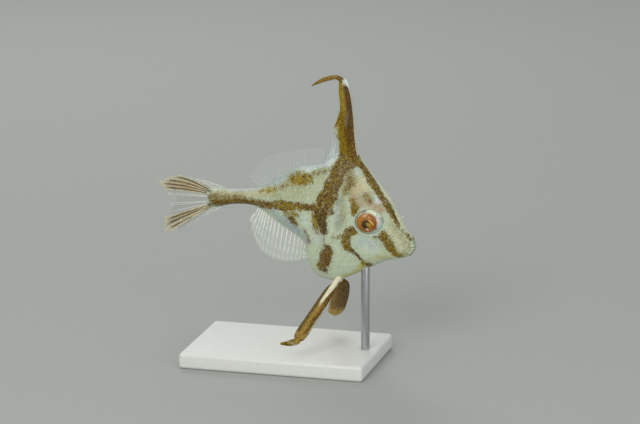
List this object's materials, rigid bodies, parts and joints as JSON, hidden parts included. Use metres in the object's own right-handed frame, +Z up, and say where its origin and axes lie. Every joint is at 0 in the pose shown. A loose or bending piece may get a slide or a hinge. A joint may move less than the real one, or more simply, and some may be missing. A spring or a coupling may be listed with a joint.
{
  "type": "triplespine fish, still display model",
  "caption": "Life-size still model of a juvenile triplespine fish, mint and brown, with raised dorsal and splayed pelvic spines, on a plain display stand.",
  "frame": {"origin": "on the underside of the display base, below the middle of the model's box", "axes": "+X forward towards the snout, +Y towards the fish's left side, +Z up"},
  "size_m": [0.034, 0.016, 0.0374],
  "materials": {
    "skin": "moist silvery mint skin with brown and golden dots",
    "spine_skin": "brown skin sheath with golden dots over pale bone",
    "clear_fin": "clear thin fin membrane with pale rays",
    "tail_fin": "striped cream and brown fin rays on a clear membrane",
    "eye": "glossy orange iris with a dark pupil",
    "stand_base": "smooth pale grey",
    "stand_rod": "brushed"
  },
  "bodies": {
    "root": {"head": "skin", "trunk": "skin", "tail_stalk": "skin", "eye_left": "eye", "eye_right": "eye", "dorsal_spine": "spine_skin", "rear_dorsal_spines": "clear_fin", "soft_dorsal_fin": "clear_fin", "anal_fin": "clear_fin", "caudal_fin": "tail_fin", "pectoral_fin_left": "clear_fin", "pectoral_fin_right": "clear_fin", "pelvic_spine_left": "spine_skin", "pelvic_spine_right": "spine_skin", "stand_base": "stand_base", "stand_rod": "stand_rod"}
  },
  "joints": []
}
